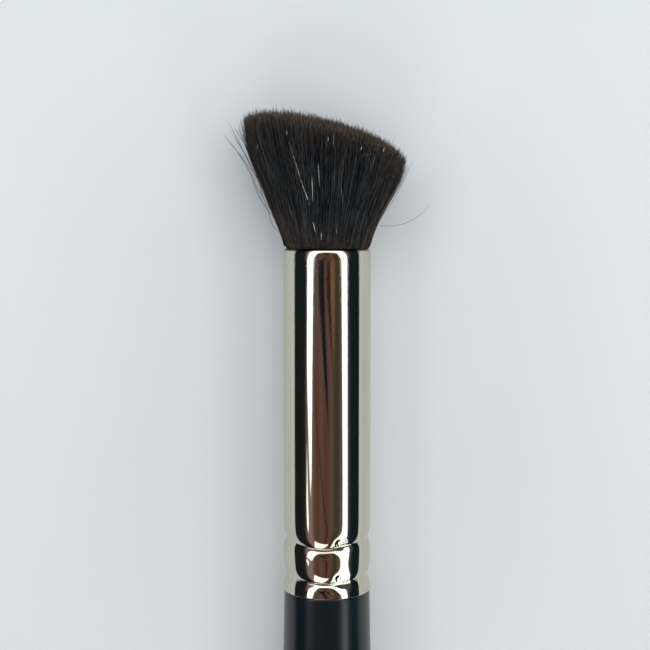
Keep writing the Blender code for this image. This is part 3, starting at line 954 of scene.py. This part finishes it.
def make_floor(stage):
    """A pale, matt table top.

    It has a painted shade round the brush, and painted light close to it that stands in for the light
    which the polished tube and the lacquer throw down on it.
    """
    finish = new_finish("pale_table")
    middle, side = 1.1 * MM, 2.5
    beside = abs(finish.place(0) - middle)
    back = finish.place(1)
    # Painted light: the table turns darker and less blue towards the handle, standing in for the
    # room's duller, warmer light there
    base = finish.blend(finish.spread(back, -0.01, 0.11), stage.painted_shade_near_floor_colour, stage.floor_colour)
    # Painted shade: the table is darkened round the brush, less so beyond the hair
    painted_shade = finish.spread(beside, 0.045, 0.025) * finish.spread(back, 0.0, 0.04) * 0.065
    painted_shade = painted_shade * (1.0 - finish.spread(back, 0.073, 0.095) * 0.65)
    # Painted light: a paler band beside the tube, standing in for light thrown down on the table
    painted_bounce_light = finish.spread(beside, 0.0115, 0.0065) * finish.spread(back, 0.084, 0.074) * 0.37
    painted_bounce_light = painted_bounce_light * finish.spread(back, -0.03, 0.01)
    base = finish.blend(painted_bounce_light, finish.blend(painted_shade, base, (0.0, 0.0, 0.0)), (1.0, 1.0, 1.0))
    colour = finish.blend(finish.noise(9.0) * 0.03, base, (0.6, 0.6, 0.6))
    finish.surface(colour, 0.8, **{"Specular IOR Level": 0.2})
    level_piece("table", -side, side, -side, side, 0.0, finish.owner)


def ceiling_share(column, row, stage):
    """Share of the way over the dark dome, from the left, that the ferrule mirrors at a pixel."""
    away = mirrored((column, row), stage)[1]
    return math.atan2(away[0], away[2]) / math.pi + 0.5


def before_plate(colour):
    """Light that shows as a display colour once the nickel plate has tinted it."""
    return tuple(value / plate for value, plate in zip(linear(colour), PLATE))


def ceiling_ramp(finish, share, bands, row, stage):
    """Ramp over the dome, from colours that show in the nickel at columns of a row of the photo."""
    stops = [(ceiling_share(column, row, stage), before_plate(colour)) for column, colour in bands]
    return finish.node("ValToRGB", {"stops": stops}, {0: share})


# Colours of the room overhead, as they show in the plated tube
NIGHT = (22, 27, 25)
TEAL = (15, 23, 27)
SHADOW = (38, 28, 22)
OLIVE = (58, 55, 40)
ASH = (86, 77, 71)
ROSE = (124, 102, 96)
UMBER = (93, 68, 57)
DEEP_UMBER = (80, 55, 45)
AMBER = (116, 87, 58)
SLATE = (64, 70, 70)
BLUE_NIGHT = (20, 27, 32)

# What shows across the tube, by columns of the photo: near the mouth, and near the rim
NEAR_BANDS = (
    (303, NIGHT), (307.5, SHADOW), (312, ASH), (317, ASH), (323.5, UMBER), (327, UMBER),
    (331, AMBER), (333.5, AMBER), (335.5, OLIVE), (338, OLIVE), (341, ASH), (347.5, SLATE),
    (350, BLUE_NIGHT),
)
FAR_BANDS = (
    (302.5, NIGHT), (305, SHADOW), (308, ROSE), (311, ROSE), (314, UMBER),
    (317, DEEP_UMBER), (321, UMBER), (325.5, DEEP_UMBER), (332, UMBER), (334.5, OLIVE),
    (338, OLIVE), (341, ASH), (348, SLATE), (351, BLUE_NIGHT),
)

# Dark beams: columns of their middle and half widths in columns, near the mouth and near the rim
BEAMS = (
    (321.2, 3.5, 334.3, -1.6, TEAL),
    (328.2, 2.4, 342.0, -2.6, SHADOW),
    (306.0, 0.2, 327.0, 1.1, SHADOW),
    (337.0, 1.6, 336.5, 0.6, OLIVE),
)


def ceiling_finish(stage):
    """A warm ceiling with dark beams, as the tube mirrors it.

    The place on it is the angle from straight up towards the right, and the distance back along
    the brush.
    """
    finish = new_finish("dark_ceiling")
    across, back, high = (finish.place(axis) for axis in range(3))
    share = across.math("ARCTAN2", across, high) / math.pi + 0.5
    uneven = share + (finish.noise(5.0, 0.3) - 0.5) * 0.012
    distance = finish.spread(abs(back - 0.02), 0.02, 0.36)
    near = ceiling_ramp(finish, uneven, NEAR_BANDS, NEAR_ROW, stage)
    far = ceiling_ramp(finish, uneven, FAR_BANDS, FAR_ROW, stage)
    colour = finish.blend(finish.spread(distance, 0.0, 0.4), near, far)
    pixel = ceiling_share(326.0, NEAR_ROW, stage) - ceiling_share(325.0, NEAR_ROW, stage)
    for near_column, near_half, far_column, far_half, beam in BEAMS:
        start = ceiling_share(near_column, MOUTH_ROW, stage)
        end = ceiling_share(far_column, FAR_ROW, stage)
        off = abs(uneven - (distance * (end - start) + start))
        half = distance * ((far_half - near_half) * pixel) + near_half * pixel
        cover = finish.spread(half - off, 0.0, 0.9 * pixel)
        colour = finish.blend(cover, colour, before_plate(beam))
    return finish.glow(colour, 1.0)


def make_ceiling(stage):
    """A dark dome that only polished surfaces see.

    Flat strips like it lie just over the table from where the table's top ends.
    """
    material = ceiling_finish(stage)
    radius, level = stage.ceiling_radius, 0.2 * MM
    rings, sides = 25, 48
    tilt = np.linspace(0.0, math.pi / 2.0, rings)[:, None]
    turn = FULL_TURN * np.arange(sides) / sides
    points = radius * stacked(np.sin(tilt) * np.sin(turn), np.sin(tilt) * np.cos(turn), np.cos(tilt))
    strips = {
        "dark_left": (-radius, -stage.table_left, -radius),
        "dark_right": (stage.table_right, radius, -radius),
        "dark_front": (-radius, radius, MOUTH_Y + stage.table_front),
    }
    items = [stage_piece("dark_dome", points, grid_faces(rings, sides), material)]
    items += [level_piece(name, *edges, radius, level, material) for name, edges in strips.items()]
    for item in items:
        for ray in ("camera", "diffuse", "shadow", "transmission", "volume_scatter"):
            setattr(item, "visible_" + ray, False)


# The arched window in millimetres across and beyond the mouth. Each edge has the corners of its
# left leg from the foot up, those of its right leg from the crown down, and its crown's place.
ARCH_OUTER = (
    ((-389, -151), (-500, -108), (-535, -90), (-523, -40), (-467, 114), (-380, 420)),
    ((420, 420), (540, -20), (565, -80), (580, -200), (700, -600), (800, -1300)),
    565,
)
ARCH_INNER = (
    ((-345, -136), (-332, -100), (-320, -80), (-300, -35), (-253, 36), (-211, 105)),
    ((222, 105), (307, -14), (330, -70), (353, -137), (340, -600), (300, -1300)),
    205,
)


def arch_edge(left, right, crown):
    """An edge of the arch: up the left leg, over by half an ellipse, and down the right leg."""
    (start, low), (end, _) = left[-1], right[0]
    angle = np.linspace(math.pi, 0.0, 17)[1:-1]
    across = (start + end) / 2.0 + (end - start) / 2.0 * np.cos(angle)
    return np.concatenate([left, stacked(across, low + (crown - low) * np.sin(angle)), right])


def make_arch(stage):
    """The arched window overhead: a flat glowing band between its outer and its inner edge."""
    material = new_finish("window_light").glow((0.97, 0.99, 1.0), stage.lamp_glow)
    edges = np.stack([arch_edge(*ARCH_OUTER), arch_edge(*ARCH_INNER)], axis=1) * MM
    points = on_brush(edges[..., 0], edges[..., 1], stage.lamp_height)
    step = 2 * np.arange(len(edges) - 1)[:, None]
    arch = stage_piece("arched_window", points, step + np.array([0, 1, 3, 2]), material)
    arch.visible_camera = False


def make_lamp(name, start, end, length, glow, stage):
    """A rectangular lamp facing down, from the ends of one side and its length to the left of it."""
    start, end = np.array(start), np.array(end)
    side = end - start
    width = float(np.linalg.norm(side))
    middle = (start + end) / 2.0 + np.array([-side[1], side[0]]) / width * length / 2.0
    data = bpy.data.lights.new(name, "AREA")
    data.shape = "RECTANGLE"
    data.size = width
    data.size_y = abs(length)
    data.energy = glow * stage.lamp_glow * math.pi * data.size * data.size_y
    lamp = new_object(name, data)
    lamp.location = (middle[0], MOUTH_Y + middle[1], AXIS_Z + stage.lamp_height)
    lamp.rotation_euler = (0.0, 0.0, math.atan2(side[1], side[0]))
    lamp.visible_camera = False
    return lamp


# Pixels at which the tube mirrors the left window's side
WINDOW_PIXELS = ((306.8, 445.0), (308.6, 525.0))


def make_lamps(stage):
    """Two windows on the handle's side of the room, and a weak fill that nothing mirrors."""
    outer, inner = (lamp_corner(pixel, stage) for pixel in WINDOW_PIXELS)
    make_lamp("left_back_window", outer, inner, -0.05, 0.85, stage)
    make_lamp("back_window", (-0.28, -0.30), (0.10, -0.42), -0.92, 0.8, stage)
    fill = make_lamp("ceiling_lamp", (0.06, -0.30), (0.20, -0.30), 0.50, 0.5, stage)
    fill.visible_glossy = False


def make_world(stage):
    """Even pale light from all round."""
    world = bpy.data.worlds.new("pale_room")
    bpy.context.scene.world = world
    finish = Finish(world)
    background = finish.tree.nodes["Background"]
    finish.feed(background.inputs["Color"], stage.room_colour)
    finish.feed(background.inputs["Strength"], stage.room_glow)


def make_camera(stage):
    """The photograph's camera: nearly overhead, with its foot just beyond the mouth."""
    data = bpy.data.cameras.new("photo_camera")
    data.sensor_width = SENSOR_SIDE
    data.lens = SENSOR_SIDE * PHOTO_FOCUS / PHOTO_SIDE
    data.clip_start = 0.01
    camera = new_object("photo_camera", data)
    camera.location = (stage.camera_across, MOUTH_Y + stage.camera_rise, AXIS_Z + stage.camera_height)
    camera.rotation_euler = (CAMERA_TILT, 0.0, 0.0)
    bpy.context.scene.camera = camera
    bpy.context.scene.view_settings.view_transform = "Standard"


# Settings


def length_of(name, description, millimetres, lowest=0.0):
    """A length that a user may change, with its default in millimetres."""
    size = {"default": millimetres * MM, "min": lowest, "unit": "LENGTH", "precision": 5}
    return FloatProperty(name=name, description=description, **size)


def colour_of(name, description, default):
    """A colour that a user may change."""
    kind = {"min": 0.0, "max": 1.0, "subtype": "COLOR", "size": 3}
    return FloatVectorProperty(name=name, description=description, default=default, **kind)


def amount_of(name, description, default, highest=1.0):
    """A share or strength that a user may change."""
    return FloatProperty(name=name, description=description, default=default, min=0.0, max=highest)


def number_of(name, description, default, lowest=1):
    """A whole number that a user may change."""
    return IntProperty(name=name, description=description, default=default, min=lowest)


class BrushHairSettings(bpy.types.PropertyGroup):
    """Sizes and colours of the head of hair."""

    count: number_of("Hairs", "How many hairs the head has", 25000, 500)
    clumps: number_of("Clumps", "How many clumps the hairs lean into", 2600)
    seed: number_of("Seed", "Start of the random draws", 7)
    mouth_radius: length_of("Mouth radius", "Radius of the bundle inside the ferrule's lip", 5.25)
    lip_swell: length_of("Lip swell", "How far the hair swells over the lip", 0.44)
    half_width: length_of("Half width", "Half the width of the fan at its full spread", 11.6)
    half_depth: length_of("Half depth", "Half the depth of the fan at its full spread", 7.5)
    lean: length_of("Lean", "How far the fan leans over to its short side", 0.4)
    height: length_of("Height", "Rise of the cut on the axis", 16.85)
    depth_dome_share: amount_of("Depth dome", "Doming from front to back", 0.65)
    fan_height: length_of("Fan height", "Rise at which the fan is fully spread", 17.6)
    dome: length_of("Dome", "How far the cut domes down to its edge", 2.3)
    slant: FloatProperty(name="Slant", description="Cut's slope", default=CUT_SLANT, subtype="ANGLE")
    hair_radius: length_of("Hair radius", "Radius of one hair at mid length", 0.038)
    tip_scatter: length_of("Tip scatter", "How unevenly the tips end", 0.27)
    fringe: length_of("Fringe", "How far single tips stand above the cut", 0.7)
    rim_round: length_of("Rim round", "How far the cut is rounded down at its rim", 0.12)
    wander: amount_of("Wander", "Share by which hairs leave their lines", 0.034)
    stand_off: amount_of("Stand-off", "Share by which edge hairs stand off", 0.075)
    core_colour: colour_of("Core colour", "Colour in the middle of the fan", (0.0048, 0.0074, 0.0092))
    brown_colour: colour_of("Brown", "Colour at the root and edges", (0.030, 0.0215, 0.0145))
    tip_colour: colour_of("Tip colour", "Colour of the cut tips", (0.066, 0.048, 0.028))
    rust_colour: colour_of("Rust", "Colour of reddish streaks", (0.085, 0.036, 0.018))
    red_tip_colour: colour_of("Reddish tips", "Colour of single reddish tips", (0.13, 0.062, 0.036))
    pale_tip_colour: colour_of("Pale tips", "Colour of single pale tips", (0.26, 0.21, 0.15))


class BrushFerruleSettings(bpy.types.PropertyGroup):
    """Sizes and finish of the plated tube."""

    sides: number_of("Sides", "Facets round the tube", 360, 12)
    wall: length_of("Wall", "Thickness of the tube", 0.3)
    lip_length: length_of("Lip length", "Length of the turned-in lip", 1.75)
    first_crimp: length_of("First crimp", "First crimp's distance from the rim", 7.3)
    last_crimp: length_of("Last crimp", "Last crimp's distance from the rim", 2.35)
    crimp_depth: length_of("Crimp depth", "How deep the crimps press in", 0.38)
    front_depth: length_of("Front depth", "How much deeper the crimps press in on top", 0.12)
    upper_flank: length_of("Upper flank", "How fast a crimp's upper flank levels out", 0.72)
    lower_flank: length_of("Lower flank", "How fast a crimp's lower flank levels out", 0.6)
    collar_flare: length_of("Collar flare", "How far the collar widens to the rim", 0.2)
    plate_colour: colour_of("Plate colour", "Colour of the nickel plate", PLATE)
    roughness: amount_of("Roughness", "Roughness of the plate", 0.045)


class BrushHandleSettings(bpy.types.PropertyGroup):
    """Sizes and finish of the wooden handle."""

    sides: number_of("Sides", "Facets round the handle", 192, 12)
    tenon_radius: length_of("Tenon radius", "Radius of the tenon in the ferrule", 5.3)
    neck_radius: length_of("Neck radius", "Radius where the handle leaves the ferrule", 5.9)
    neck_edge: length_of("Neck edge", "Rounding of the neck's edge", 0.25)
    belly_from_rim: length_of("Belly place", "Distance from the rim to the widest place", 32.0)
    tail_radius: length_of("Tail radius", "Radius where the butt's dome starts", 3.7)
    butt_length: length_of("Butt length", "Length of the butt's dome", 3.2)
    butt_land: length_of("Butt land", "Radius of the small flat at the end", 1.6)
    lacquer_colour: colour_of("Lacquer", "Colour of the lacquer", (0.0015, 0.0075, 0.0112))
    roughness: amount_of("Roughness", "Roughness of the lacquer", 0.24)


class BrushStageSettings(bpy.types.PropertyGroup):
    """Table, lamps, room and camera."""

    floor_colour: colour_of("Table colour", "Colour of the table", (0.72, 0.765, 0.79))
    # Painted light: the duller, warmer light towards the handle, painted as a table colour
    painted_shade_near_floor_colour: colour_of("Near table", "Table's colour by the handle", (0.712, 0.718, 0.742))
    table_left: length_of("Table left", "Where the table ends on the left of the axis", 160.0)
    table_right: length_of("Table right", "Where the table ends on the right of the axis", 210.0)
    table_front: length_of("Table front", "Where the table ends beyond the mouth", 30.0)
    room_colour: colour_of("Room colour", "Colour of the even light", (0.96, 0.98, 1.0))
    room_glow: amount_of("Room light", "Strength of the even light", 0.385)
    lamp_glow: amount_of("Lamp light", "Brightness of the lamps' faces", 2.3, 100.0)
    lamp_height: length_of("Lamp height", "Height of the lamps over the axis", 400.0)
    ceiling_radius: length_of("Ceiling radius", "Radius of the dark dome", 1500.0)
    camera_height: length_of("Camera height", "Height of the camera over the axis", 168.8)
    camera_rise: length_of("Camera rise", "Camera's place beyond the mouth", 2.33, -1.0)
    camera_across: length_of("Camera across", "Camera's place across the axis", -0.27, -1.0)


# Operators


class BRUSH_OT_make_hair(bpy.types.Operator):
    """Make the fanned head of hair in seven layers"""

    bl_idname = "contour_brush.make_hair"
    bl_label = "Head of hair"

    def execute(self, context):
        make_hair(context.scene.brush_hair)
        return {"FINISHED"}


class BRUSH_OT_make_single_hairs(bpy.types.Operator):
    """Make the white and grey hairs on the head and the stray hairs beside it"""

    bl_idname = "contour_brush.make_single_hairs"
    bl_label = "White and stray hairs"

    def execute(self, context):
        make_single_hairs(context.scene.brush_hair, context.scene.brush_stage)
        return {"FINISHED"}


class BRUSH_OT_make_ferrule(bpy.types.Operator):
    """Make the plated tube with its lip and crimps"""

    bl_idname = "contour_brush.make_ferrule"
    bl_label = "Ferrule"

    def execute(self, context):
        make_ferrule(context.scene.brush_ferrule)
        return {"FINISHED"}


class BRUSH_OT_make_handle(bpy.types.Operator):
    """Make the lacquered wooden handle"""

    bl_idname = "contour_brush.make_handle"
    bl_label = "Handle"

    def execute(self, context):
        make_handle(context.scene.brush_handle)
        return {"FINISHED"}


class BRUSH_OT_finish_root(bpy.types.Operator):
    """Give the thread, resin and adhesive inside the ferrule their finishes"""

    bl_idname = "contour_brush.finish_root"
    bl_label = "Root finishes"

    def execute(self, context):
        finish_root()
        return {"FINISHED"}


class BRUSH_OT_make_stage(bpy.types.Operator):
    """Make the table, lamps, room and camera"""

    bl_idname = "contour_brush.make_stage"
    bl_label = "Stage"

    def execute(self, context):
        for make in (make_floor, make_ceiling, make_arch, make_lamps, make_world, make_camera):
            make(context.scene.brush_stage)
        return {"FINISHED"}


OPERATORS = (
    BRUSH_OT_make_hair,
    BRUSH_OT_make_single_hairs,
    BRUSH_OT_make_ferrule,
    BRUSH_OT_make_handle,
    BRUSH_OT_finish_root,
    BRUSH_OT_make_stage,
)


class BRUSH_PT_pieces(bpy.types.Panel):
    """Lists the brush's pieces"""

    bl_idname = "BRUSH_PT_pieces"
    bl_label = "Angled contour brush"
    bl_space_type = "VIEW_3D"
    bl_region_type = "UI"
    bl_category = "Brush"

    def draw(self, context):
        for operator in OPERATORS:
            self.layout.operator(operator.bl_idname)


SETTINGS = {
    "brush_hair": BrushHairSettings,
    "brush_ferrule": BrushFerruleSettings,
    "brush_handle": BrushHandleSettings,
    "brush_stage": BrushStageSettings,
}
CLASSES = (*SETTINGS.values(), *OPERATORS, BRUSH_PT_pieces)


def register():
    """Register the classes and put the settings on the scene."""
    for kind in CLASSES:
        bpy.utils.register_class(kind)
    for name, kind in SETTINGS.items():
        setattr(bpy.types.Scene, name, PointerProperty(type=kind))


def unregister():
    """Take the settings off the scene and unregister the classes."""
    for name in SETTINGS:
        delattr(bpy.types.Scene, name)
    for kind in reversed(CLASSES):
        bpy.utils.unregister_class(kind)


def main():
    """Make every piece and the stage in order."""
    register()
    bpy.ops.contour_brush.make_hair()
    bpy.ops.contour_brush.make_single_hairs()
    bpy.ops.contour_brush.make_ferrule()
    bpy.ops.contour_brush.make_handle()
    bpy.ops.contour_brush.finish_root()
    bpy.ops.contour_brush.make_stage()


if __name__ == "__main__":
    main()
